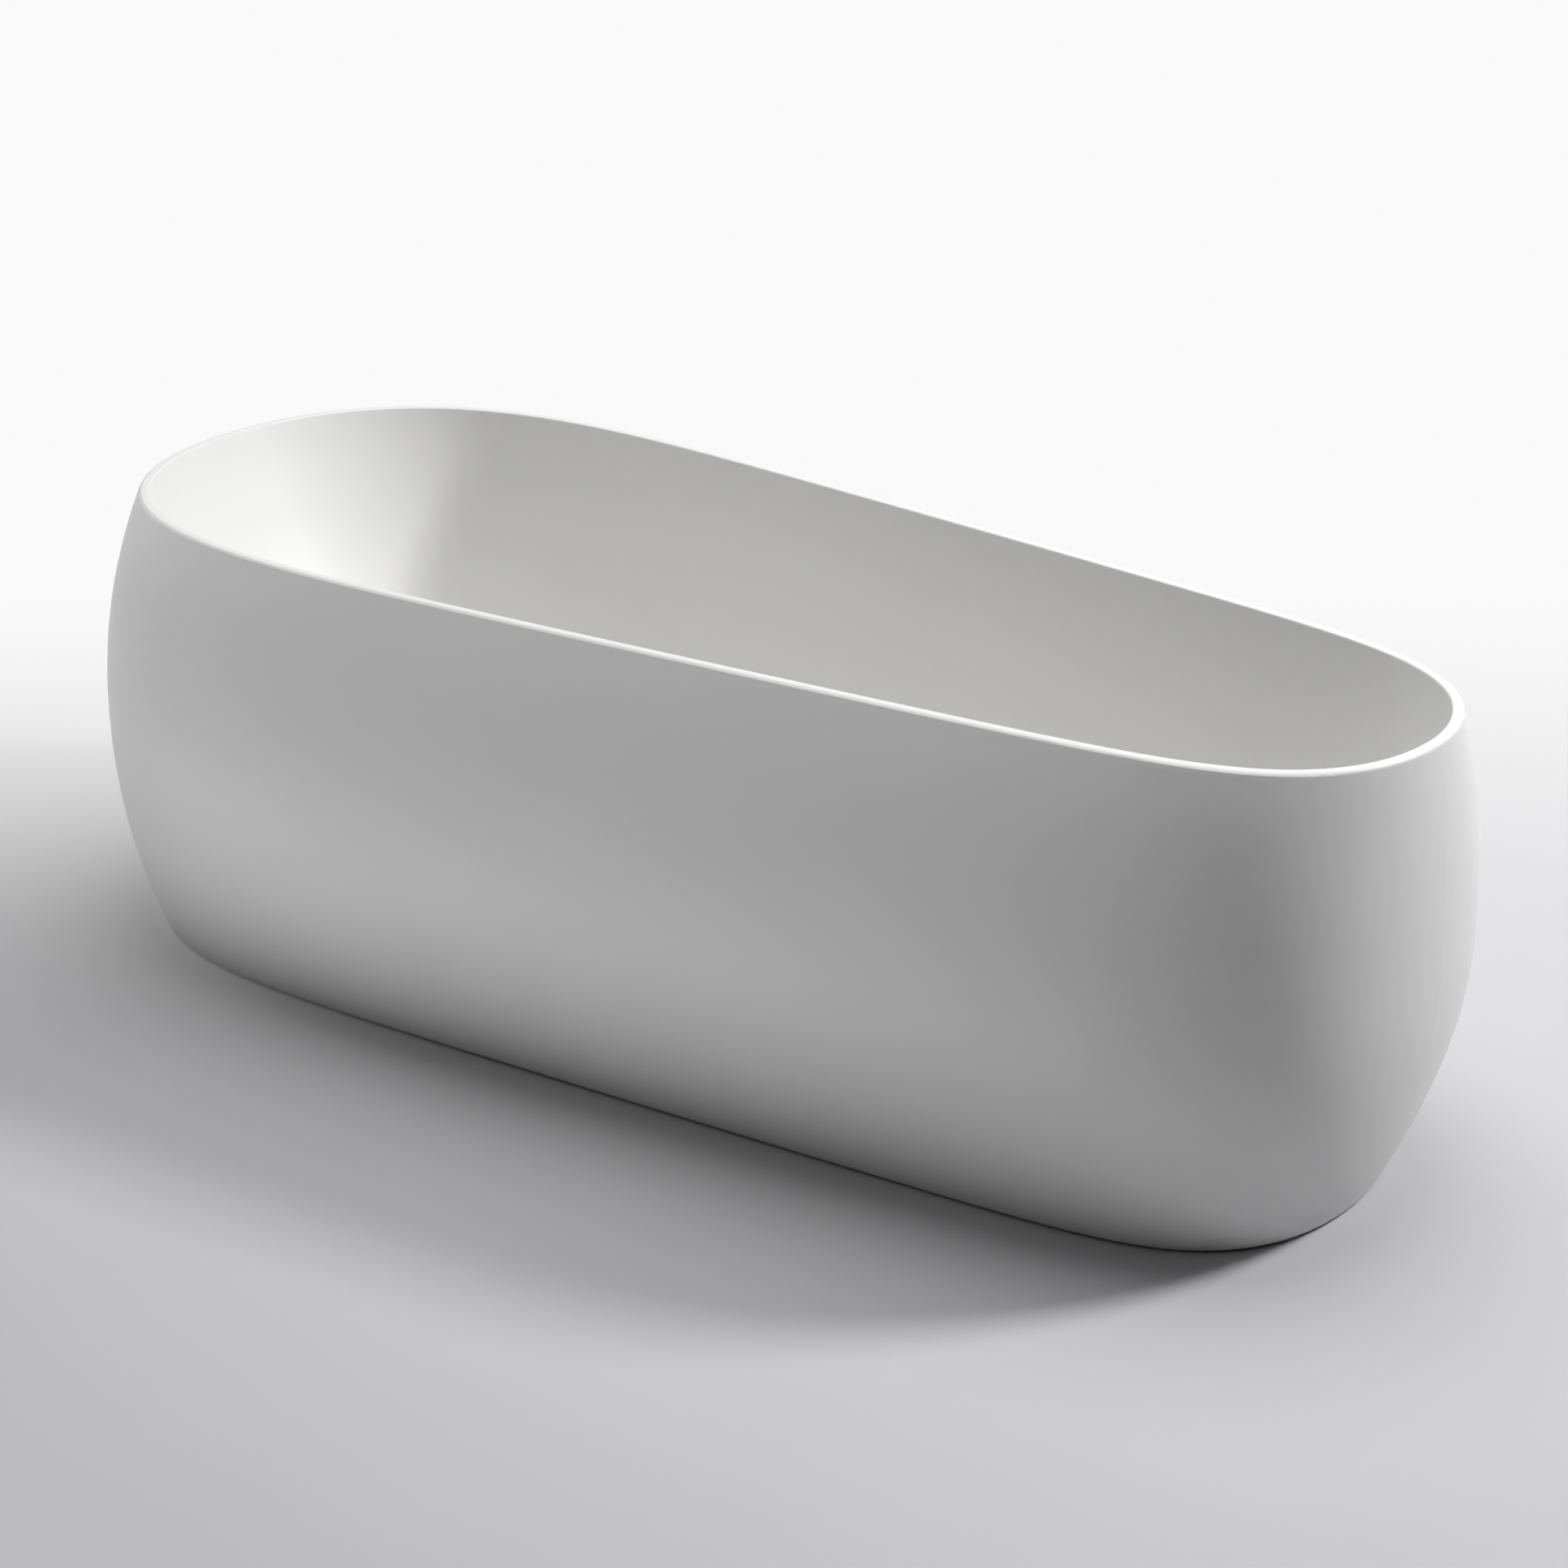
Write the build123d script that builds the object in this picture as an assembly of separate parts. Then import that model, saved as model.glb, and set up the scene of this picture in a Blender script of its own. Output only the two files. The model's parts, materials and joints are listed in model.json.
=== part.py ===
from build123d import *
import os
from collections import namedtuple
from math import cos, copysign, pi, sin, sqrt

# A one-ended freestanding bathtub: a basin and a bulged skirt, bonded under a thin rim, on a steel
# frame with five levelling feet. Millimetres. +X points to the foot end, +Y to the bather's left,
# +Z up. The origin lies on the floor, under the middle of the tub.

# Tub shell
Outline = namedtuple("Outline", "half_length half_width centre head_power foot_power")
HEIGHT = 520
WAIST_LEVEL = 252
RIM = Outline(820, 278, 9, 4.4, 10.0)
WAIST = Outline(850, 359, 0, 3.9, 9.3)
BASE = Outline(779, 290, 3, 6.2, 10.8)
BASIN_FLOOR = Outline(555, 188, 104, 3.2, 4.0)
SIDE_TAPER = 0.1005
SIDE_BOW = 1.2e-5
UPPER_BULGE = 2.2
LOWER_BULGE = 1.75
SKIRT_GAP = 3
WALL = 5.5
RIM_WIDTH = 11
RIM_DEPTH = 6
RIM_OUTER_ROUND = 5
RIM_INNER_ROUND = 2
BOND = 0.3
UNDERSIDE = 114
FLOOR_LEVEL = 120
FLOOR_FALL = 0.006
WALL_POWER = 2.6
OUTLINE_POINTS = 40
OUTER_STEPS = 10
BASIN_STEPS = 14

# Drain, on a vertical axis in the floor
DRAIN_X = 520
DRAIN_SEAT = 117.5
DRAIN_BOSS_LEVEL = 110
DRAIN_HOLE_RADIUS = 26

# Overflow, on the foot-end wall
OVERFLOW_LEVEL = 395
OVERFLOW_HOLE_RADIUS = 24
HOSE_RADIUS = 13
HOSE_BORE = 10.5
SPIGOT_RADIUS = 10.4
SPIGOT_BORE = 8
SPIGOT_DEPTH = -25
HOSE_LEVEL = 84.5
HOSE_BEND = 100

# Frame
BOARD_THICKNESS = 15
BOARD_INSET = 14
TUBE = 30
TUBE_WALL = 2
RAIL_Y = 80
RAIL_HEAD_X = -735
RAIL_FOOT_X = 730
CROSS_BAR_X = {"head": -560, "middle": 0, "foot": 600}
CROSS_BAR_HALF = {"head": 290, "middle": 255, "foot": 205}
BOARD_SCREW_X = (-400, -180, 180, 400)

# Levelling feet
FOOT_PLACES = {
    "head_left": (-560, 245),
    "head_right": (-560, -245),
    "middle": (0, 0),
    "foot_left": (600, 160),
    "foot_right": (600, -160),
}
STUD_RADIUS = 6
NUT_BORE = 6.08

# Trap
TRAP_LEVEL = 34
PIPE_RADIUS = 20

BOARD_BOTTOM = UNDERSIDE - BOARD_THICKNESS
RAIL_BOTTOM = BOARD_BOTTOM - TUBE
BAR_BOTTOM = RAIL_BOTTOM - TUBE
RAIL_MIDDLE = RAIL_BOTTOM + TUBE / 2
BAR_MIDDLE = BAR_BOTTOM + TUBE / 2


# Shapes seen from above


def mixed(near, far, share):
    return Outline(*(a + (b - a) * share for a, b in zip(near, far)))


def half_width(outline, x):
    """Half width at x of a long oval that narrows towards the foot end."""
    along = (x - outline.centre) / outline.half_length
    power = outline.foot_power if along > 0 else outline.head_power
    end = sqrt(max(0, 1 - abs(along) ** power))
    return end * (outline.half_width - SIDE_TAPER * x - SIDE_BOW * x * x)


def outline_point(outline, turn):
    x = outline.centre + outline.half_length * cos(turn)
    return Vector(x, copysign(half_width(outline, x), sin(turn)))


def outline_wire(outline, inset, level):
    """Closed curve that runs `inset` inside the outline. level(x) gives its height."""
    probe = 0.002
    points = []
    for step in range(OUTLINE_POINTS):
        turn = 2 * pi * step / OUTLINE_POINTS
        ahead = outline_point(outline, turn + probe) - outline_point(outline, turn - probe)
        inward = Vector(-ahead.Y, ahead.X).normalized()
        point = outline_point(outline, turn) + inward * inset
        points.append(Vector(point.X, point.Y, level(point.X)))
    return Wire([Edge.make_spline(points, periodic=True)])


def outer_outline(z):
    """The skirt's outline at height z: widest at the waist, drawn in to the rim and the base."""
    if z > WAIST_LEVEL:
        return mixed(WAIST, RIM, ((z - WAIST_LEVEL) / (HEIGHT - WAIST_LEVEL)) ** UPPER_BULGE)
    return mixed(WAIST, BASE, ((WAIST_LEVEL - z) / WAIST_LEVEL) ** LOWER_BULGE)


# Shapes that repeat


def place(shape, x=0, y=0, z=0):
    return Pos(x, y, z) * shape


def cylinder(radius, low, high):
    """Upright cylinder between two heights."""
    return place(extrude(Circle(radius), high - low), z=low)


def ring(outer, inner, low, high):
    return place(extrude(Circle(outer) - Circle(inner), high - low), z=low)


def hexagon(across_flats, low, high):
    return place(extrude(RegularPolygon(across_flats / 2, 6, major_radius=False), high - low), z=low)


def turned(*points):
    """Solid of revolution about Z of a profile of (radius, height) points."""
    profile = make_face(Polyline([(r, 0, z) for r, z in points], close=True))
    return revolve(profile, Axis.Z)


def group(solids):
    """One node of several separate solids."""
    return Compound(children=[solid for shape in solids for solid in shape.solids()])


# Basin and skirt


def outer_body(inset, margin):
    """The skirt's outside, `inset` smaller all round and `margin` longer at both ends."""
    low = SKIRT_GAP - margin
    rise = (HEIGHT + margin - low) / OUTER_STEPS
    levels = [low + rise * step for step in range(OUTER_STEPS + 1)]
    return Solid.make_loft([outline_wire(outer_outline(z), inset, lambda x, z=z: z) for z in levels])


def basin_share(z, floor):
    """How far a wall at height z has moved in, from 0 at the rim to 1 at the floor."""
    return 1 - ((z - floor) / (HEIGHT - floor)) ** (1 / WALL_POWER)


def basin_body(inset, floor_level):
    """Solid bounded by the walls and the floor, from one step above the rim."""
    wires = []
    for step in range(-1, BASIN_STEPS + 1):
        share = step / BASIN_STEPS
        outline = mixed(RIM, BASIN_FLOOR, share)
        drop = 1 - (1 - share) ** WALL_POWER
        wires.append(
            outline_wire(outline, inset, lambda x, d=drop: HEIGHT - (HEIGHT - floor_level(x)) * d)
        )
    return Solid.make_loft(wires)


def above(level):
    return place(Box(4 * HEIGHT, 4 * HEIGHT, HEIGHT), z=level + HEIGHT / 2)


def outer_skirt():
    body = outer_body(0, 0) - above(HEIGHT - RIM_DEPTH) - outer_body(WALL, 10)
    lower_edges = body.edges().filter_by_position(Axis.Z, SKIRT_GAP - 1, SKIRT_GAP + 1)
    return fillet(lower_edges, WALL * 0.3)


def overflow_plane():
    """Plane of the overflow's seat: its Z points into the tub, square to the wall."""
    step = 1

    def wall_x(z):
        outline = mixed(RIM, BASIN_FLOOR, basin_share(z, FLOOR_LEVEL))
        return outline.centre + outline.half_length - RIM_WIDTH

    lean = wall_x(OVERFLOW_LEVEL + step) - wall_x(OVERFLOW_LEVEL - step)
    normal = Vector(-2 * step, 0, lean).normalized()
    return Plane(
        origin=(wall_x(OVERFLOW_LEVEL), 0, OVERFLOW_LEVEL), x_dir=(0, -1, 0), z_dir=normal
    )


OVERFLOW = overflow_plane().location


def inner_basin():
    fall = lambda x: FLOOR_LEVEL + FLOOR_FALL * (DRAIN_X - x)
    rim = outer_body(0, 0) & above(HEIGHT - RIM_DEPTH)
    walls = basin_body(RIM_WIDTH - WALL + BOND, lambda x: UNDERSIDE)
    body = rim + (walls - above(HEIGHT - RIM_DEPTH / 2))
    body += place(cylinder(45, DRAIN_BOSS_LEVEL, UNDERSIDE + 2), DRAIN_X)
    body += OVERFLOW * cylinder(37, -8, -3)
    body -= basin_body(RIM_WIDTH, fall)
    top = body.edges().filter_by_position(Axis.Z, HEIGHT - 1, HEIGHT + 1).sort_by(SortBy.LENGTH)
    body = fillet(top[-1:], RIM_OUTER_ROUND)
    top = body.edges().filter_by_position(Axis.Z, HEIGHT - 1, HEIGHT + 1).sort_by(SortBy.LENGTH)
    body = fillet(top[:1], RIM_INNER_ROUND)
    dish = turned((0, DRAIN_SEAT), (38, DRAIN_SEAT), (50, FLOOR_LEVEL + 3), (0, FLOOR_LEVEL + 3))
    body -= place(dish, DRAIN_X)
    body -= place(cylinder(DRAIN_HOLE_RADIUS, DRAIN_BOSS_LEVEL - 5, FLOOR_LEVEL), DRAIN_X)
    body -= OVERFLOW * cylinder(33, -0.5, 8)
    body -= OVERFLOW * cylinder(OVERFLOW_HOLE_RADIUS, -12, 5)
    return body


# Frame


def square_tube(length):
    """Square tube along X, centred on the origin."""
    outside = extrude(RectangleRounded(TUBE, TUBE, 3), length)
    inside = extrude(Rectangle(TUBE - 2 * TUBE_WALL, TUBE - 2 * TUBE_WALL), length)
    return Rot(0, 90, 0) * place(outside - inside, z=-length / 2)


def rail(side):
    length = RAIL_FOOT_X - RAIL_HEAD_X
    tube = place(square_tube(length), RAIL_HEAD_X + length / 2, side * RAIL_Y, RAIL_MIDDLE)
    for x in BOARD_SCREW_X:
        tube -= place(cylinder(2.6, RAIL_BOTTOM - 1, BOARD_BOTTOM + 1), x, side * RAIL_Y)
    for x in CROSS_BAR_X.values():
        tube -= place(cylinder(4.2, RAIL_BOTTOM - 1, RAIL_BOTTOM + 5), x, side * RAIL_Y)
    for x in (RAIL_HEAD_X + 18, RAIL_FOOT_X - 18):
        tube -= place(cylinder(2.6, BOARD_BOTTOM - 5, BOARD_BOTTOM + 1), x, side * RAIL_Y)
    return tube


def cross_bar(name):
    x = CROSS_BAR_X[name]
    half = CROSS_BAR_HALF[name]
    tube = place(Rot(0, 0, 90) * square_tube(2 * half), x, 0, BAR_MIDDLE)
    for side in (-1, 1):
        tube -= place(cylinder(4.2, BAR_BOTTOM - 1, RAIL_BOTTOM + 1), x, side * RAIL_Y)
        tube -= place(cylinder(2.6, RAIL_BOTTOM - 5, RAIL_BOTTOM + 1), x, side * (half - 15))
    for foot_x, foot_y in FOOT_PLACES.values():
        if foot_x == x:
            tube -= place(cylinder(7, BAR_BOTTOM - 1, RAIL_BOTTOM + 1), x, foot_y)
    return tube


def base_board():
    wire = outline_wire(BASIN_FLOOR, BOARD_INSET, lambda x: BOARD_BOTTOM)
    board = extrude(Face(wire), BOARD_THICKNESS, dir=(0, 0, 1))
    board -= place(cylinder(62, BOARD_BOTTOM - 1, UNDERSIDE + 1), DRAIN_X)
    for side in (-1, 1):
        for x in BOARD_SCREW_X:
            board -= place(cylinder(2.52, BOARD_BOTTOM - 1, UNDERSIDE - 3), x, side * RAIL_Y)
    return board


def board_screws():
    screw = cylinder(2.5, RAIL_BOTTOM, UNDERSIDE - 4) + cylinder(5, RAIL_BOTTOM - 3, RAIL_BOTTOM)
    return group([place(screw, x, side * RAIL_Y) for side in (-1, 1) for x in BOARD_SCREW_X])


def crossings():
    return [(x, side * RAIL_Y) for x in CROSS_BAR_X.values() for side in (-1, 1)]


def cross_bar_bolts():
    bolt = hexagon(13, BAR_BOTTOM - 5, BAR_BOTTOM) + cylinder(4, BAR_BOTTOM, RAIL_BOTTOM + 11)
    return group([place(bolt, x, y) for x, y in crossings()])


def cross_bar_nuts():
    low = RAIL_BOTTOM + TUBE_WALL
    nut = hexagon(13, low, low + 6.5) - cylinder(4.02, low - 1, low + 8)
    return group([place(nut, x, y) for x, y in crossings()])


def end_cap():
    """Plug for a tube's end, with its flange on the +X side of the origin."""
    inside = TUBE - 2 * TUBE_WALL - 0.1
    flange = extrude(RectangleRounded(TUBE, TUBE, 3), 2)
    return Rot(0, 90, 0) * (flange + extrude(Rectangle(inside, inside), -12))


def frame_end_caps():
    caps = []
    for side in (-1, 1):
        caps.append(place(end_cap(), RAIL_FOOT_X, side * RAIL_Y, RAIL_MIDDLE))
        caps.append(place(Rot(0, 0, 180) * end_cap(), RAIL_HEAD_X, side * RAIL_Y, RAIL_MIDDLE))
        for name, x in CROSS_BAR_X.items():
            turned_cap = Rot(0, 0, side * 90) * end_cap()
            caps.append(place(turned_cap, x, side * CROSS_BAR_HALF[name], BAR_MIDDLE))
    return group(caps)


# Straps from the frame's ends to the skirt


def reach(x, y, toward, z):
    """Distance from (x, y) to the skirt's inside at height z, along the direction `toward`."""
    outline = outer_outline(z)
    near, far = 0, outline.half_length
    while far - near > 0.01:
        middle = (near + far) / 2
        at = Vector(x, y) + toward * middle
        past_end = abs(at.X - outline.centre) > outline.half_length
        if past_end or abs(at.Y) > half_width(outline, at.X):
            far = middle
        else:
            near = middle
    return near - WALL * 1.1


def strap_places():
    """Start, direction and seat height of each strap: (x, y, direction, z)."""
    places = []
    for side in (-1, 1):
        for name, x in CROSS_BAR_X.items():
            y = side * (CROSS_BAR_HALF[name] - 15)
            places.append((x, y, Vector(0, side), RAIL_BOTTOM))
        places.append((RAIL_FOOT_X - 18, side * RAIL_Y, Vector(1, 0), BOARD_BOTTOM))
        places.append((RAIL_HEAD_X + 18, side * RAIL_Y, Vector(-1, 0), BOARD_BOTTOM))
    return places


def strap(x, y, toward, z):
    """Bent strip: a flat leg on the tube and a leg that leans with the skirt."""
    thickness, width, rise, gap = 3, 28, 42, 1.5
    edge = Vector(toward.Y, -toward.X) * (width / 2)
    edges = [Vector(x, y) + edge * side for side in (-1, 1)]
    low = min(reach(at.X, at.Y, toward, z) for at in edges) - gap
    high = min(reach(at.X, at.Y, toward, z + rise) for at in edges) - gap
    lean = Vector(high - low, rise).normalized() * thickness
    outside = [(-14, 0), (low, 0), (high, rise)]
    inside = [(high - lean.Y, rise + lean.X), (low - thickness * 0.8, thickness), (-14, thickness)]
    plane = Plane(
        origin=(x, y, z), x_dir=(toward.X, toward.Y, 0), z_dir=(toward.Y, -toward.X, 0)
    )
    profile = plane * make_face(Polyline(outside + inside, close=True))
    strip = extrude(profile, width / 2, both=True)
    return strip - place(cylinder(2.6, z - 1, z + thickness + 1), x, y)


def skirt_brackets():
    return group([strap(*at) for at in strap_places()])


def bracket_screws():
    screw = cylinder(2.5, -6, 3) + cylinder(5, 3, 6)
    return group([place(screw, x, y, z) for x, y, _, z in strap_places()])


# Levelling feet


def foot_pad(x, y):
    pad = turned((0, 0), (25, 0), (25, 5), (12, 10), (12, 14), (0, 14))
    pad -= cylinder(8.3, 5.7, 11.3) + cylinder(6.3, 11, 15)
    return place(pad, x, y)


def foot_stud(x, y):
    stud = cylinder(8, 6, 11) + cylinder(STUD_RADIUS, 11, 86)
    stud += hexagon(17, 15, 22)
    return place(chamfer(stud.edges().group_by(Axis.Z)[-1], 1), x, y)


def foot_weld_nuts():
    nut = hexagon(19, RAIL_BOTTOM, RAIL_BOTTOM + 10) - cylinder(NUT_BORE, 0, HEIGHT)
    return group([place(nut, x, y) for x, y in FOOT_PLACES.values()])


def foot_lock_nuts():
    nut = hexagon(19, BAR_BOTTOM - 6, BAR_BOTTOM) - cylinder(NUT_BORE, 0, HEIGHT)
    return group([place(nut, x, y) for x, y in FOOT_PLACES.values()])


# Drain and click plug, on the drain's axis


def waste_flange():
    flange = turned(
        (20.5, 76), (24, 76), (24, 119), (36, 119), (36, 120.5), (35, 121.5),
        (33, 121.5), (31, 120.4), (23, 120.4), (20.5, 117),
    )
    for turn in range(0, 360, 90):
        window = place(Box(12, 14, 10), 22, 0, 92)
        flange -= Rot(0, 0, turn + 45) * window
    spider = ring(7, 4, 80, 85)
    for turn in range(0, 360, 120):
        spider += Rot(0, 0, turn) * place(Box(15, 3, 5), 13.8, 0, 82.5)
    return flange + (spider & cylinder(22, 70, 90))


def waste_top_seal():
    return ring(35, 24.2, DRAIN_SEAT, 119)


def waste_bottom_seal():
    return ring(36, 24.2, 106, DRAIN_BOSS_LEVEL)


def waste_body():
    body = turned(
        (17.5, 16), (20, 16), (20, 66), (31.5, 66), (31.5, 100), (37, 102), (37, 106),
        (24.05, 106), (24.05, 100), (28, 97), (28, 69), (17.5, 69),
    )
    inlet = Rot(0, 90, 0) * cylinder(SPIGOT_RADIUS, 29, 62)
    bore = Rot(0, 90, 0) * cylinder(SPIGOT_BORE, 20, 63)
    return body + place(inlet, z=HOSE_LEVEL) - place(bore, z=HOSE_LEVEL)


def plug_cap():
    radius, edge, top = 31, 124.5, 128.5
    dome_radius = (radius**2 + (top - edge) ** 2) / (2 * (top - edge))
    cap = cylinder(radius, edge - 1, top) & place(Sphere(dome_radius), z=top - dome_radius)
    cap += ring(19.8, 17, 118, edge) + cylinder(5.5, 113.3, edge)
    return cap - cylinder(3.05, 113, 121.6)


def plug_seal():
    return turned((19.85, 123.5), (26, 123.5), (28.2, 121.6), (28.2, 120.8), (19.85, 120.8))


def plug_plunger():
    return cylinder(4.1, 95, 99) + cylinder(3, 99, 121.5)


def plug_housing():
    housing = turned((0, 76), (3.9, 76), (3.9, 85), (6.5, 85), (6.5, 112), (0, 112))
    return housing - cylinder(4.2, 86.5, 110.5) - cylinder(3.1, 110, 113)


def plug_spring():
    wire_radius, coil_radius, turns = 0.4, 3.5, 5
    low, high = 86.5 + wire_radius, 95 - wire_radius
    path = Edge.make_helix((high - low) / turns, high - low, coil_radius, center=(0, 0, low))
    start = Plane(origin=path @ 0, z_dir=path % 0)
    return sweep(start * Circle(wire_radius), path, is_frenet=True)


# Overflow, built on its seat: Z into the tub, Y up along the wall


def overflow_front_seal():
    return ring(31, OVERFLOW_HOLE_RADIUS + 1, -0.5, 1)


def overflow_rear_seal():
    return ring(33, OVERFLOW_HOLE_RADIUS + 1, -10, -8)


def overflow_cover():
    cover = turned((0, 10), (29, 10), (29, 1), (32, 1), (32, 11.5), (30.5, 13), (0, 13))
    cover += cylinder(6, -2, 11)
    mouth = place(Box(36, 20, 7.5), 0, -30, 5)
    return cover - mouth - cylinder(2.7, -3, 14)


def overflow_body():
    body = turned(
        (0, -37), (27, -37), (27, -13), (33, -13), (33, -10), (24.5, -10), (24.5, -34.5), (0, -34.5)
    )
    body += place(Box(51, 7, 5), 0, 0, -13.5) + cylinder(6, -16, -11)
    body -= cylinder(2.55, -17, -10)
    spigot = Rot(90, 0, 0) * cylinder(SPIGOT_RADIUS, 25, 56)
    bore = Rot(90, 0, 0) * cylinder(SPIGOT_BORE, 20, 57)
    return body + place(spigot, z=SPIGOT_DEPTH) - place(bore, z=SPIGOT_DEPTH)


def overflow_screw():
    screw = cylinder(2.5, -15, 13) + cylinder(4.5, 13, 15)
    return screw - place(Box(6, 1.2, 2), z=15)


def hose_nut_upper():
    return place(Rot(90, 0, 0) * ring(16, HOSE_RADIUS + 0.05, 37, 50), z=SPIGOT_DEPTH)


def hose_nut_lower():
    return place(Rot(0, 90, 0) * ring(16, HOSE_RADIUS + 0.05, 40, 53), z=HOSE_LEVEL)


def overflow_hose():
    """Hose from the overflow's spigot, down behind the wall and under the basin to the drain."""
    top = (OVERFLOW * Pos(0, -35, SPIGOT_DEPTH)).position
    beyond = (OVERFLOW * Pos(0, -100, SPIGOT_DEPTH)).position
    run = beyond - top
    corner = top + run * ((top.Z - HOSE_LEVEL) / -run.Z)
    end = Vector(DRAIN_X + 38, 0, HOSE_LEVEL)
    path = FilletPolyline(top, corner, end, radius=HOSE_BEND)
    start = Plane(origin=top, z_dir=run.normalized())
    return sweep(start * (Circle(HOSE_RADIUS) - Circle(HOSE_BORE)), path)


# Trap, on the drain's axis, with its outlet towards the head end


def trap_cup():
    cup = cylinder(42, 8, 52) + cylinder(24.5, 52, 58)
    cup += place(Rot(0, -90, 0) * cylinder(23, 30, 76), z=TRAP_LEVEL)
    socket = place(Rot(0, -90, 0) * cylinder(PIPE_RADIUS + 0.1, 43, 77), z=TRAP_LEVEL)
    weir = place(Box(12, 28, 14), -42, 0, 43)
    inside = cylinder(39, 11, 49)
    return cup - inside - socket - weir - cylinder(20.2, 45, 60)


def trap_inlet_seal():
    return ring(24.4, 20.05, 58, 61)


def trap_inlet_nut():
    nut = Rot(0, 0, 30) * hexagon(58, 54, 64.5)
    return nut - cylinder(24.6, 50, 61) - cylinder(20.6, 60, 66)


def trap_outlet_seal():
    return place(Rot(0, -90, 0) * ring(22.9, PIPE_RADIUS + 0.05, 76, 79), z=TRAP_LEVEL)


def trap_outlet_nut():
    nut = hexagon(54, 62, 83) - cylinder(23.1, 60, 79) - cylinder(20.5, 78, 84)
    return place(Rot(0, -90, 0) * nut, z=TRAP_LEVEL)


def outlet_pipe():
    """Plain pipe with a stop bead between the trap's socket and its free end."""
    pipe = cylinder(PIPE_RADIUS, 46, 190) + cylinder(21.5, 85, 88)
    pipe -= cylinder(PIPE_RADIUS - 1.8, 45, 191)
    return place(Rot(0, -90, 0) * pipe, z=TRAP_LEVEL)


def at_drain(shape):
    return place(shape, DRAIN_X)


def at_overflow(shape):
    return OVERFLOW * shape


def all_nodes():
    nodes = {
        "outer_skirt": outer_skirt(),
        "inner_basin": inner_basin(),
        "base_board": base_board(),
        "frame_rail_left": rail(1),
        "frame_rail_right": rail(-1),
        "frame_end_caps": frame_end_caps(),
        "board_screws": board_screws(),
        "cross_bar_bolts": cross_bar_bolts(),
        "cross_bar_nuts": cross_bar_nuts(),
        "skirt_brackets": skirt_brackets(),
        "bracket_screws": bracket_screws(),
        "foot_weld_nuts": foot_weld_nuts(),
        "foot_lock_nuts": foot_lock_nuts(),
        "overflow_hose": overflow_hose(),
    }
    for name in CROSS_BAR_X:
        nodes["cross_bar_" + name] = cross_bar(name)
    for name, (x, y) in FOOT_PLACES.items():
        nodes["foot_pad_" + name] = foot_pad(x, y)
        nodes["foot_stud_" + name] = foot_stud(x, y)
    for make in (
        waste_flange, waste_top_seal, waste_bottom_seal, waste_body, plug_cap, plug_seal,
        plug_plunger, plug_housing, plug_spring, hose_nut_lower, trap_cup, trap_inlet_seal,
        trap_inlet_nut, trap_outlet_seal, trap_outlet_nut, outlet_pipe,
    ):
        nodes[make.__name__] = at_drain(make())
    for make in (
        overflow_front_seal, overflow_rear_seal, overflow_cover, overflow_body, overflow_screw,
        hose_nut_upper,
    ):
        nodes[make.__name__] = at_overflow(make())
    return nodes


os.makedirs("parts", exist_ok=True)
for node, shape in all_nodes().items():
    export_step(shape, f"parts/{node}.step")
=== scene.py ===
import json
import math

import bpy
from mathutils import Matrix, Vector

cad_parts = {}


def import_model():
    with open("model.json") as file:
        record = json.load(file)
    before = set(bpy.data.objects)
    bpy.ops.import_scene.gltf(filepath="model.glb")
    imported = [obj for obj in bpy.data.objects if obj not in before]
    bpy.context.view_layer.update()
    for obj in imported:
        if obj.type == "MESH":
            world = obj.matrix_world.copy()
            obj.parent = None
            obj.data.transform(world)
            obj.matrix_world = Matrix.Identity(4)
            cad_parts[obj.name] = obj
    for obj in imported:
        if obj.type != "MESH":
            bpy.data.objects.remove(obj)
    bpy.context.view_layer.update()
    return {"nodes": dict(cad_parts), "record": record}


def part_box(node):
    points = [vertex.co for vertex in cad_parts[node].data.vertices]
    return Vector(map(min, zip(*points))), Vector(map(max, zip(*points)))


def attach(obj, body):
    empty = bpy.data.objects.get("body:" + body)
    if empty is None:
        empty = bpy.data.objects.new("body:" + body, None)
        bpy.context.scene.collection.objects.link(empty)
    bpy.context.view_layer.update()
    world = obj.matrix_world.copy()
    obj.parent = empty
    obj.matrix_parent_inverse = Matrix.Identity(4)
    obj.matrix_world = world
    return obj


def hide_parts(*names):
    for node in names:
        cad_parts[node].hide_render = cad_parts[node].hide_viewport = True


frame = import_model()

# Material building blocks


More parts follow.
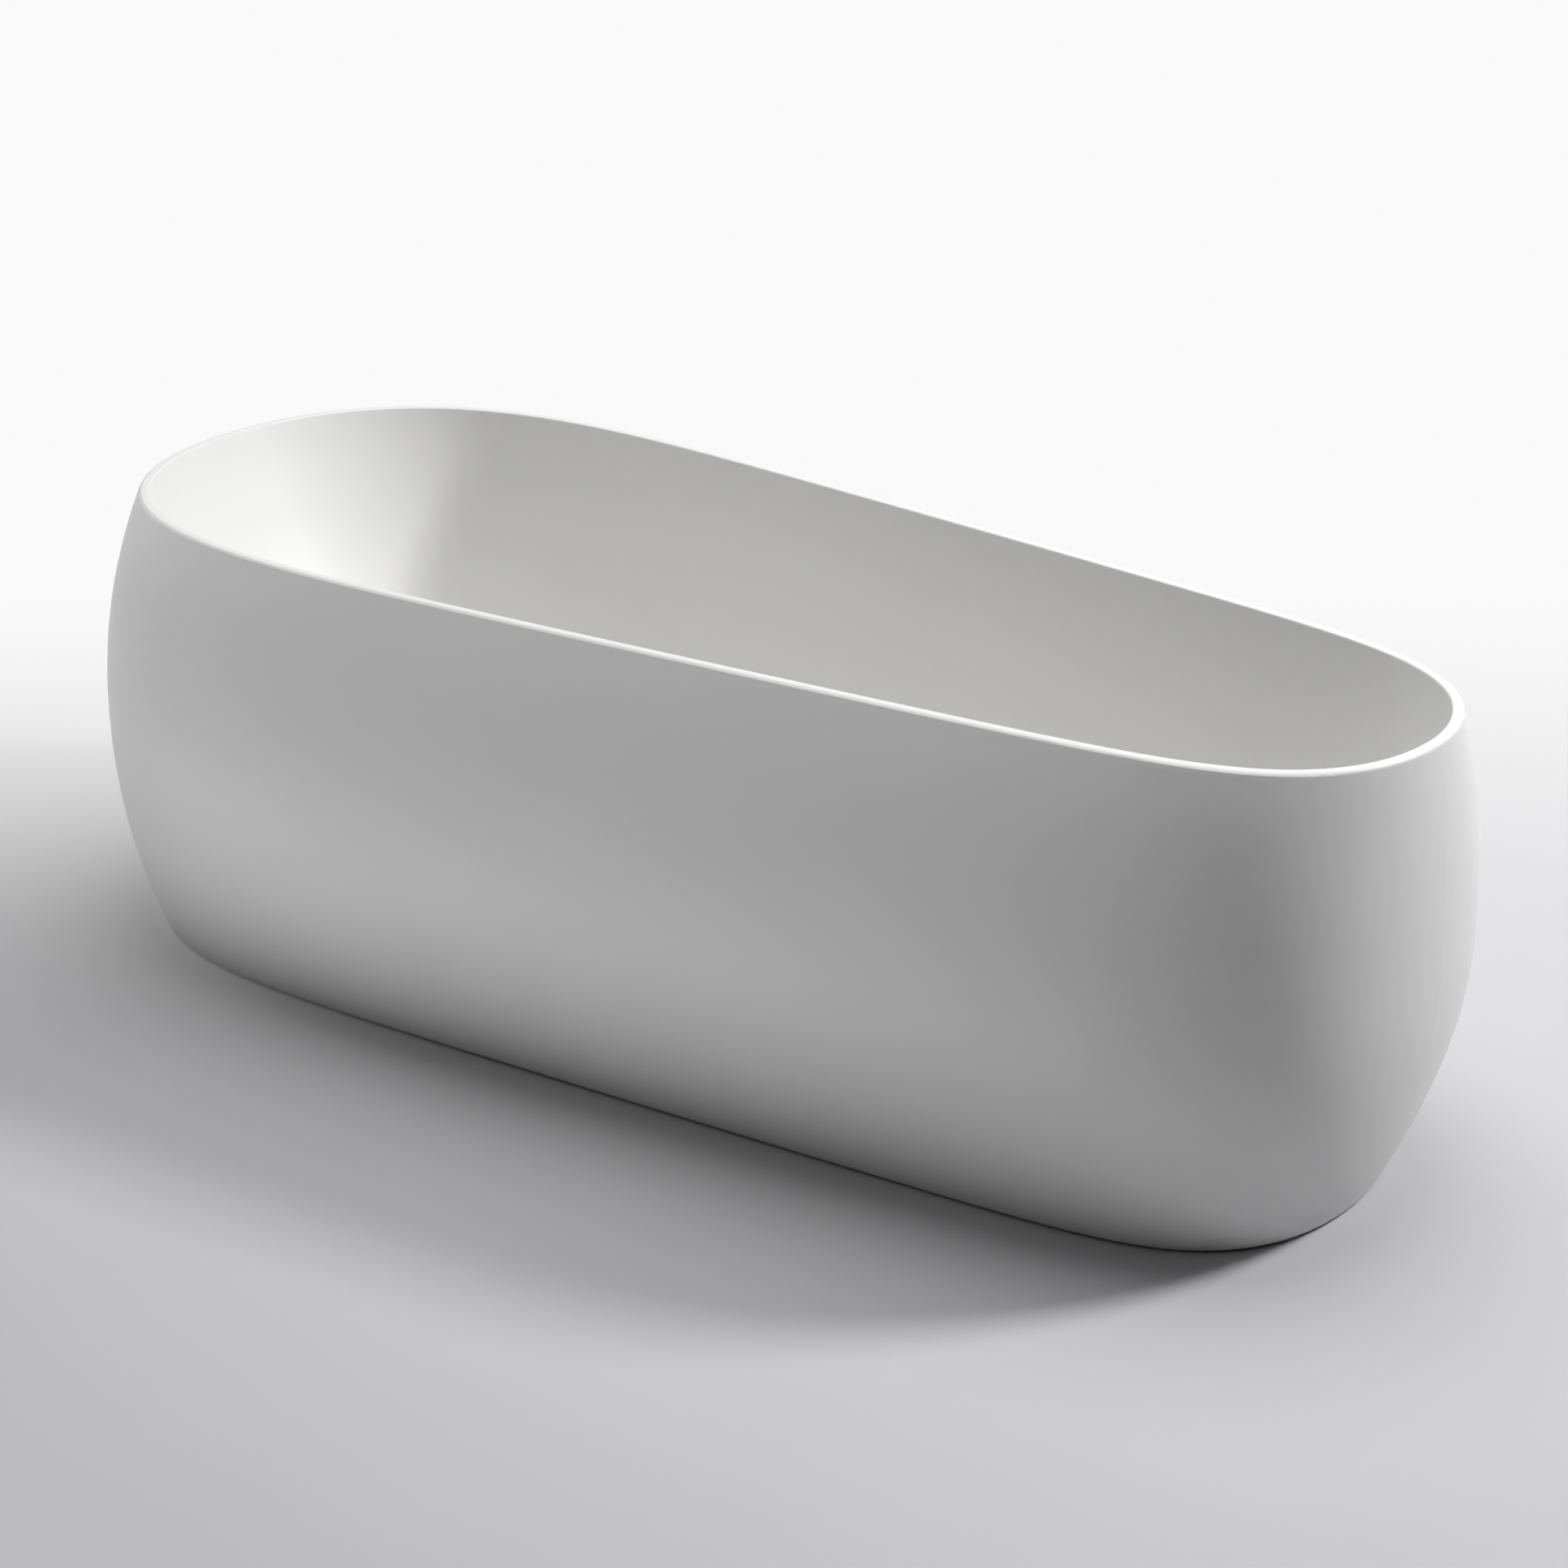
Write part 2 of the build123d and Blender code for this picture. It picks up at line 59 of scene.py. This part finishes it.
class Surface:
    """A Principled material, with helpers that lay procedural detail over it."""

    def __init__(self, name, **constants):
        self.material = bpy.data.materials.new(name)
        self.material.use_nodes = True
        self.tree = self.material.node_tree
        self.shader = self.tree.nodes["Principled BSDF"]
        for socket, value in constants.items():
            self.shader.inputs[socket.replace("_", " ")].default_value = value
        self.normal = None

    def node(self, kind, inputs=(), **settings):
        """Adds a node. inputs is a list of (socket, value or output to link)."""
        made = self.tree.nodes.new("ShaderNode" + kind)
        for setting, value in settings.items():
            setattr(made, setting, value)
        for socket, value in inputs:
            if isinstance(value, bpy.types.NodeSocket):
                self.tree.links.new(value, made.inputs[socket])
            else:
                made.inputs[socket].default_value = value
        return made

    def point(self, stretch=(1, 1, 1)):
        """Position on the object, in metres, stretched along the axes."""
        coordinates = self.node("TexCoord").outputs["Object"]
        return self.node("Mapping", [("Vector", coordinates), ("Scale", stretch)]).outputs["Vector"]

    def noise(self, scale, detail=3, stretch=(1, 1, 1), distortion=0):
        inputs = [
            ("Vector", self.point(stretch)), ("Scale", scale), ("Detail", detail),
            ("Distortion", distortion),
        ]
        return self.node("TexNoise", inputs).outputs["Fac"]

    def cells(self, scale, stretch=(1, 1, 1)):
        """A random shade for each cell of a crystal-like pattern."""
        inputs = [("Vector", self.point(stretch)), ("Scale", scale)]
        colour = self.node("TexVoronoi", inputs).outputs["Color"]
        return self.node("SeparateColor", [("Color", colour)]).outputs["Red"]

    def waves(self, scale, axis, distortion=0):
        inputs = [("Vector", self.point()), ("Scale", scale), ("Distortion", distortion)]
        return self.node("TexWave", inputs, bands_direction=axis).outputs["Fac"]

    def spread(self, value, low, high, start=0.3, end=0.7):
        inputs = [
            ("Value", value), ("From Min", start), ("From Max", end), ("To Min", low), ("To Max", high),
        ]
        return self.node("MapRange", inputs, interpolation_type="SMOOTHSTEP").outputs["Result"]

    def colour(self, value, *stops):
        """Base colour along a ramp of (position, colour) stops."""
        ramp = self.node("ValToRGB", [("Fac", value)])
        elements = ramp.color_ramp.elements
        for element, (place, tint) in zip(elements, stops):
            element.position = place
            element.color = (*tint, 1)
        for place, tint in stops[2:]:
            elements.new(place).color = (*tint, 1)
        self.tree.links.new(ramp.outputs["Color"], self.shader.inputs["Base Color"])

    def roughness(self, value, low, high, start=0.3, end=0.7):
        rough = self.spread(value, low, high, start, end)
        self.tree.links.new(rough, self.shader.inputs["Roughness"])

    def bump(self, height, depth, strength=1):
        """Relief of that depth in metres, on top of the relief already there."""
        inputs = [("Height", height), ("Distance", depth), ("Strength", strength)]
        if self.normal is not None:
            inputs.append(("Normal", self.normal))
        self.normal = self.node("Bump", inputs).outputs["Normal"]
        self.tree.links.new(self.normal, self.shader.inputs["Normal"])


# Materials


def tub_acrylic():
    """Silk-matt solid acrylic: an even warm white with a very fine orange peel."""
    surface = Surface("tub_acrylic", Specular_IOR_Level=0.42)
    cloud = surface.noise(2.2, 4)
    surface.colour(cloud, (0.25, (0.708, 0.705, 0.699)), (0.75, (0.735, 0.732, 0.727)))
    surface.roughness(surface.noise(9, 6), 0.40, 0.50)
    surface.bump(surface.noise(230, 2), 0.00004, 0.5)
    surface.bump(surface.noise(1500, 2), 0.00001, 0.5)
    return surface.material


def chrome():
    surface = Surface("chrome", Metallic=1)
    surface.colour(surface.noise(60, 3), (0.3, (0.70, 0.71, 0.73)), (0.7, (0.80, 0.81, 0.82)))
    surface.roughness(surface.noise(45, 6, (1, 1, 8)), 0.05, 0.14)
    surface.bump(surface.noise(900, 3, (1, 9, 1)), 0.000004)
    return surface.material


def brass():
    surface = Surface("brass", Metallic=1)
    surface.colour(surface.noise(150, 4), (0.3, (0.50, 0.33, 0.13)), (0.7, (0.72, 0.53, 0.25)))
    surface.roughness(surface.noise(220, 4), 0.22, 0.40)
    surface.bump(surface.waves(900, "Z", 0.4), 0.00003, 0.5)
    return surface.material


def black_rubber():
    surface = Surface("black_rubber", Specular_IOR_Level=0.35)
    surface.colour(surface.noise(120, 6), (0.35, (0.017, 0.017, 0.018)), (0.75, (0.045, 0.044, 0.043)))
    surface.roughness(surface.noise(60, 5), 0.62, 0.85)
    surface.bump(surface.noise(1400, 3), 0.00005, 0.7)
    return surface.material


def black_plastic():
    surface = Surface("black_plastic")
    surface.colour(surface.noise(90, 5), (0.3, (0.02, 0.02, 0.021)), (0.7, (0.035, 0.035, 0.036)))
    surface.roughness(surface.noise(300, 4), 0.42, 0.58)
    surface.bump(surface.noise(1100, 2), 0.00005, 0.6)
    return surface.material


def galvanised(name, dark, light, scale):
    """Zinc with its crystal spangle, dull patches and fine rolling lines."""
    surface = Surface(name, Metallic=1)
    surface.colour(surface.cells(scale), (0.1, dark), (0.9, light))
    surface.roughness(surface.noise(scale * 0.6, 6), 0.30, 0.58)
    surface.bump(surface.noise(scale * 5, 3, (0.15, 1, 1)), 0.00005, 0.5)
    return surface.material


def board_wood():
    """Raw particle board: pale and dark flakes lying along the board."""
    surface = Surface("board_wood", Specular_IOR_Level=0.25)
    flakes = surface.cells(190, (0.45, 1, 1.6))
    surface.colour(
        flakes, (0.05, (0.30, 0.19, 0.10)), (0.95, (0.62, 0.47, 0.30)), (0.4, (0.48, 0.34, 0.20)),
    )
    surface.roughness(surface.noise(120, 5), 0.70, 0.9)
    surface.bump(flakes, 0.0003, 0.6)
    surface.bump(surface.noise(900, 5, (0.2, 1, 1)), 0.0001, 0.6)
    return surface.material


def moulded(name, dark, light):
    """Moulded polypropylene: faint flow marks and a fine spark-eroded grain."""
    surface = Surface(name, Specular_IOR_Level=0.45)
    surface.colour(surface.noise(14, 5, (1, 1, 0.4), 0.8), (0.3, dark), (0.7, light))
    surface.roughness(surface.noise(50, 5), 0.34, 0.50)
    surface.bump(surface.noise(1300, 2), 0.00004, 0.6)
    return surface.material


MATERIALS = {
    "tub_acrylic": tub_acrylic(),
    "chrome": chrome(),
    "brass": brass(),
    "black_rubber": black_rubber(),
    "black_plastic": black_plastic(),
    "board_wood": board_wood(),
    "frame_steel": galvanised("frame_steel", (0.36, 0.375, 0.39), (0.60, 0.61, 0.62), 110),
    "zinc_steel": galvanised("zinc_steel", (0.48, 0.48, 0.46), (0.66, 0.66, 0.62), 420),
    "spring_steel": galvanised("spring_steel", (0.40, 0.40, 0.42), (0.58, 0.58, 0.60), 900),
    "white_plastic": moulded("white_plastic", (0.74, 0.74, 0.72), (0.80, 0.80, 0.785)),
    "grey_plastic": moulded("grey_plastic", (0.105, 0.11, 0.115), (0.14, 0.145, 0.15)),
    "hose_plastic": moulded("hose_plastic", (0.50, 0.51, 0.51), (0.60, 0.61, 0.61)),
}


def finish_nodes():
    """Gives every CAD node the material of its slot."""
    for subpart in frame["record"]["subparts"]:
        node = frame["nodes"][subpart["node"]]
        slots = node.material_slots
        if not slots:
            node.data.materials.append(None)
        for slot in slots:
            slot.material = MATERIALS[subpart["material_slot"]]


finish_nodes()


# Mesh building blocks, in millimetres until a piece is made

SLOTS = {subpart["node"]: subpart["material_slot"] for subpart in frame["record"]["subparts"]}
BODIES = {
    node: body for body, nodes in frame["record"]["behaviour"]["bodies"].items() for node in nodes
}


def add(name, data):
    made = bpy.data.objects.new(name, data)
    bpy.context.scene.collection.objects.link(made)
    return made


class Skin:
    """A mesh that grows by bands of faces between rings of points."""

    def __init__(self):
        self.points = []
        self.faces = []

    def band(self, rings, looped=False):
        """Joins each ring to the next. Looped joins the last to the first, otherwise both are capped."""
        count = len(rings[0])
        start = len(self.points)
        self.points += [point for ring in rings for point in ring]
        for step in range(len(rings) if looped else len(rings) - 1):
            near = start + step * count
            far = start + (step + 1) % len(rings) * count
            for turn in range(count):
                after = (turn + 1) % count
                self.faces.append((near + turn, near + after, far + after, far + turn))
        if not looped:
            self.faces.append(tuple(range(start + count - 1, start - 1, -1)))
            self.faces.append(tuple(range(len(self.points) - count, len(self.points))))

    def turned(self, profile_at, centre, segments, looped=False):
        """Turned about an upright axis. profile_at(angle) gives the (radius, height) points there."""
        angles = [2 * math.pi * turn / segments for turn in range(segments)]
        sections = [profile_at(angle) for angle in angles]
        rings = []
        for level in zip(*sections):
            ring = []
            for angle, (radius, height) in zip(angles, level):
                x = centre[0] + radius * math.cos(angle)
                y = centre[1] + radius * math.sin(angle)
                ring.append((x, y, height))
            rings.append(ring)
        self.band(rings, looped)

    def stand_in(self, node, sharp=32):
        """Makes the mesh a piece that is shown instead of a CAD node."""
        mesh = bpy.data.meshes.new(node + "_detail")
        mesh.from_pydata([[c / 1000 for c in point] for point in self.points], [], self.faces)
        mesh.materials.append(MATERIALS[SLOTS[node]])
        mesh.polygons.foreach_set("use_smooth", [True] * len(mesh.polygons))
        mesh.set_sharp_from_angle(angle=math.radians(sharp))
        piece = add(node + "_detail", mesh)
        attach(piece, BODIES[node])
        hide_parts(node)


def centre_of(node):
    """Middle of a CAD node, in millimetres."""
    low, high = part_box(node)
    return (low + high) * 500


def levels(node):
    """Bottom and top of a CAD node, in millimetres."""
    low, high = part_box(node)
    return round(low.z * 1000, 3), round(high.z * 1000, 3)


def hexagon_radius(angle, flats):
    """Distance from the middle of a hexagon to its edge, in that direction."""
    return flats / 2 / math.cos(angle % (math.pi / 3) - math.pi / 6)


def hexagon_rim(angle, flats, low, high):
    """Outside of a nut or bolt head from its lower to its upper face, with worn-off corners."""
    edge = hexagon_radius(angle, flats)
    face = flats * 0.48
    drop = (edge - face) * 0.5
    return [(face, low), (edge, low + drop), (edge, high - drop), (face, high)]


# Levelling feet and fasteners

FEET = ("head_left", "head_right", "middle", "foot_left", "foot_right")
CROSS_BARS = ("head", "middle", "foot")
THREAD_PITCH = 1.75
THREAD_RADIUS = 5.98
STEPS_PER_THREAD = 6


def thread(angle, outer, low, high):
    """Right-hand screw thread from one height to another."""
    depth = THREAD_PITCH * 0.55
    profile = []
    for step in range(int((high - low) / THREAD_PITCH * STEPS_PER_THREAD)):
        height = low + step * THREAD_PITCH / STEPS_PER_THREAD
        phase = (height / THREAD_PITCH - angle / (2 * math.pi)) % 1
        profile.append((outer - depth * abs(2 * phase - 1), height))
    return profile


def foot_stud(foot):
    """Threaded stud with a flange that turns in the pad and a hexagon for the spanner."""

    def profile_at(angle):
        flange = [(0.2, 6), (7.7, 6), (8, 6.3), (8, 10.7), (7.7, 11), (5.2, 11), (5.2, 15)]
        hexagon = hexagon_rim(angle, 17, 15, 22)
        tip = [(5.2, 85.2), (4.6, 86), (0.2, 86)]
        return flange + hexagon + thread(angle, THREAD_RADIUS, 22.2, 85) + tip

    skin = Skin()
    skin.turned(profile_at, centre_of("foot_stud_" + foot), 24)
    skin.stand_in("foot_stud_" + foot)


def foot_pad(foot):
    """Pad with a grooved edge and rings under it that keep it from sliding."""

    def profile_at(angle):
        grip = 0.25 + 0.25 * math.cos(angle * 30)
        profile = [(0.2, 0.8)]
        for ring in range(5):
            start = 3 + 4 * ring
            profile += [(start, 0.8), (start + 0.4, 0), (start + 2.8, 0), (start + 3.2, 0.8)]
        profile += [(23, 0.8), (23.4, 0), (24.4, 0), (25 - grip, 0.7), (25 - grip, 4.3), (24.4, 5)]
        profile += [(12.8, 9.6), (12, 10.4), (12, 13.4), (11.4, 14), (6.8, 14), (6.3, 13.5)]
        return profile + [(6.3, 11.3), (8.3, 11.3), (8.3, 5.7), (0.2, 5.7)]

    skin = Skin()
    skin.turned(profile_at, centre_of("foot_pad_" + foot), 120)
    skin.stand_in("foot_pad_" + foot)


def nuts(node, places, bore, flats):
    """A bored hexagon nut at each place, from the bottom to the top of its CAD node."""
    low, high = levels(node)

    def profile_at(angle):
        return [(bore, high), (bore, low)] + hexagon_rim(angle, flats, low, high)

    skin = Skin()
    for place in places:
        skin.turned(profile_at, place, 36, looped=True)
    skin.stand_in(node)


def cross_bar_bolts(places):
    """Bolts up through the cross bars, each with its head under the bar."""
    low, high = levels("cross_bar_bolts")
    seat = levels("cross_bar_middle")[0]

    def profile_at(angle):
        shank = [(4, seat), (4, high - 0.6), (3.4, high), (0.2, high)]
        return [(0.2, low)] + hexagon_rim(angle, 13, low, seat) + shank

    skin = Skin()
    for place in places:
        skin.turned(profile_at, place, 36)
    skin.stand_in("cross_bar_bolts")


def crossings():
    """Where the cross bars pass under the rails."""
    places = []
    for bar in CROSS_BARS:
        for side in ("left", "right"):
            places.append((centre_of("cross_bar_" + bar).x, centre_of("frame_rail_" + side).y))
    return places


def fasteners():
    feet = [centre_of("foot_pad_" + foot) for foot in FEET]
    nuts("foot_lock_nuts", feet, bore=6.08, flats=19)
    nuts("foot_weld_nuts", feet, bore=6.08, flats=19)
    nuts("cross_bar_nuts", crossings(), bore=4.02, flats=13)
    cross_bar_bolts(crossings())


for foot in FEET:
    foot_stud(foot)
    foot_pad(foot)
fasteners()


# Overflow hose

HOSE_TOP = Vector((812.61, 0, 355.68))
HOSE_CORNER = Vector((756.79, 0, 84.5))
HOSE_END = Vector((558, 0, 84.5))
HOSE_BEND = 100
HOSE_RADIUS = 13
HOSE_PITCH = 4.5
HOSE_RIPPLE = 1.8
HOSE_CUFF = 22
HOSE_CUFF_INSET = 0.1
STEPS_PER_RING = 6
HOSE_SIDES = 28


def hose_path():
    """(point, direction) along the hose at even steps: down, round the bend and along."""
    down = (HOSE_CORNER - HOSE_TOP).normalized()
    along = (HOSE_END - HOSE_CORNER).normalized()
    turn = down.angle(along)
    tangent = HOSE_BEND * math.tan(turn / 2)
    first = (HOSE_CORNER - HOSE_TOP).length - tangent
    bend = HOSE_BEND * turn
    last = (HOSE_END - HOSE_CORNER).length - tangent
    inward = (along - down * down.dot(along)).normalized()
    length = first + bend + last
    steps = int(length / (HOSE_PITCH / STEPS_PER_RING))
    path = []
    for index in range(steps + 1):
        distance = length * index / steps
        if distance < first:
            path.append((HOSE_TOP + down * distance, down))
        elif distance < first + bend:
            angle = (distance - first) / HOSE_BEND
            start = HOSE_TOP + down * first
            out = down * math.sin(angle) + inward * (1 - math.cos(angle))
            path.append((start + out * HOSE_BEND, down * math.cos(angle) + inward * math.sin(angle)))
        else:
            path.append((HOSE_END - along * (length - distance), along))
    return path


def overflow_hose():
    """Ringed hose with a plain cuff at each end."""
    path = hose_path()
    across = Vector((0, 1, 0))
    rings = []
    for index, (point, direction) in enumerate(path):
        from_end = min(index, len(path) - 1 - index) * HOSE_PITCH / STEPS_PER_RING
        inset = HOSE_CUFF_INSET
        if from_end > HOSE_CUFF:
            inset = HOSE_RIPPLE / 2 * (1 - math.cos(2 * math.pi * index / STEPS_PER_RING))
        radius = HOSE_RADIUS - inset
        beside = direction.cross(across)
        angles = [2 * math.pi * turn / HOSE_SIDES for turn in range(HOSE_SIDES)]
        rings.append(
            [point + (across * math.cos(a) + beside * math.sin(a)) * radius for a in angles]
        )
    skin = Skin()
    skin.band(rings)
    skin.stand_in("overflow_hose", sharp=60)


overflow_hose()


# Stage, light and camera, in metres

FLOOR_HALF = 40
WHITE = (1, 1, 1, 1)
WHITENESS = 0.95
CAMERA_PLACE = (1.941, -2.509, 1.636)
CAMERA_TURN = math.radians(36.93)
CAMERA_PITCH = math.radians(23.45)


def square(name, height):
    """Large flat square round the tub."""
    sides = [(-1, -1), (1, -1), (1, 1), (-1, 1)]
    corners = [(FLOOR_HALF * x, FLOOR_HALF * y, height) for x, y in sides]
    mesh = bpy.data.meshes.new(name)
    mesh.from_pydata(corners, [], [(0, 1, 2, 3)])
    return mesh


def floor():
    """Plain pale floor."""
    mesh = square("floor", 0)
    surface = Surface("floor", Roughness=0.85, Specular_IOR_Level=0.2)
    surface.colour(surface.noise(1.5, 4), (0.3, (0.525, 0.525, 0.54)), (0.7, (0.54, 0.54, 0.555)))
    mesh.materials.append(surface.material)
    add("floor", mesh)


def far_floor():
    """White that takes over from the floor all round the tub, nearer on its far side. It lights nothing."""
    mesh = square("far_floor", 0.0006)
    surface = Surface(
        "far_floor", Base_Color=(0, 0, 0, 1), Specular_IOR_Level=0, Emission_Color=WHITE,
        Emission_Strength=WHITENESS,
    )
    backwards = (-math.sin(CAMERA_TURN), math.cos(CAMERA_TURN), 0)
    away = surface.node("VectorMath", [(0, surface.point())], operation="LENGTH")
    back = surface.node("VectorMath", [(0, surface.point()), (1, backwards)], operation="DOT_PRODUCT")
    ring = surface.spread(away.outputs["Value"], 0, 1, 1.15, 2.6)
    behind = surface.spread(back.outputs["Value"], 0, 1, -0.2, 1.35)
    share = surface.node("Math", [(0, ring), (1, behind)], operation="MAXIMUM").outputs["Value"]
    surface.tree.links.new(share, surface.shader.inputs["Alpha"])
    mesh.materials.append(surface.material)
    made = add("far_floor", mesh)
    made.visible_diffuse = False
    made.visible_shadow = False


def area_light(name, place, size, power):
    """Round soft light that faces the middle of the tub."""
    data = bpy.data.lights.new(name, "AREA")
    data.shape = "DISK"
    data.size = size
    data.energy = power
    made = add(name, data)
    made.location = place
    toward = Vector((0, 0, 0.3)) - made.location
    made.rotation_euler = toward.to_track_quat("-Z", "Y").to_euler()


def bounce_light(power):
    """Light thrown back by the pale floor in front of the tub, from just above the floor."""
    data = bpy.data.lights.new("bounce", "AREA")
    data.shape = "RECTANGLE"
    data.size = 2.0
    data.size_y = 0.8
    data.energy = power
    made = add("bounce", data)
    made.location = (-0.35, -0.95, 0.004)
    made.rotation_euler = (math.pi, 0, 0)
    made.visible_camera = False


def world():
    """Even white surroundings, seen by the camera and in reflections."""
    made = bpy.data.worlds.new("studio")
    made.use_nodes = True
    background = made.node_tree.nodes["Background"]
    background.inputs["Color"].default_value = WHITE
    background.inputs["Strength"].default_value = WHITENESS
    bpy.context.scene.world = made
    made.cycles_visibility.diffuse = False


def camera():
    """Looks down on the near side and the foot end."""
    data = bpy.data.cameras.new("camera")
    data.sensor_width = 36
    data.lens = 70.8
    made = add("camera", data)
    made.location = CAMERA_PLACE
    made.rotation_euler = (math.pi / 2 - CAMERA_PITCH, 0, CAMERA_TURN)
    bpy.context.scene.camera = made


floor()
far_floor()
world()
area_light("key", (2.6, 2.0, 3.1), size=0.7, power=146)
area_light("top", (0, 0.4, 4.0), size=3.0, power=98)
area_light("front", (-2.6, -3.6, 2.6), size=3.0, power=17)
area_light("left", (-4.2, -0.8, 2.0), size=2.5, power=36)
bounce_light(power=5.0)
camera()
bpy.context.scene.view_settings.view_transform = "Standard"
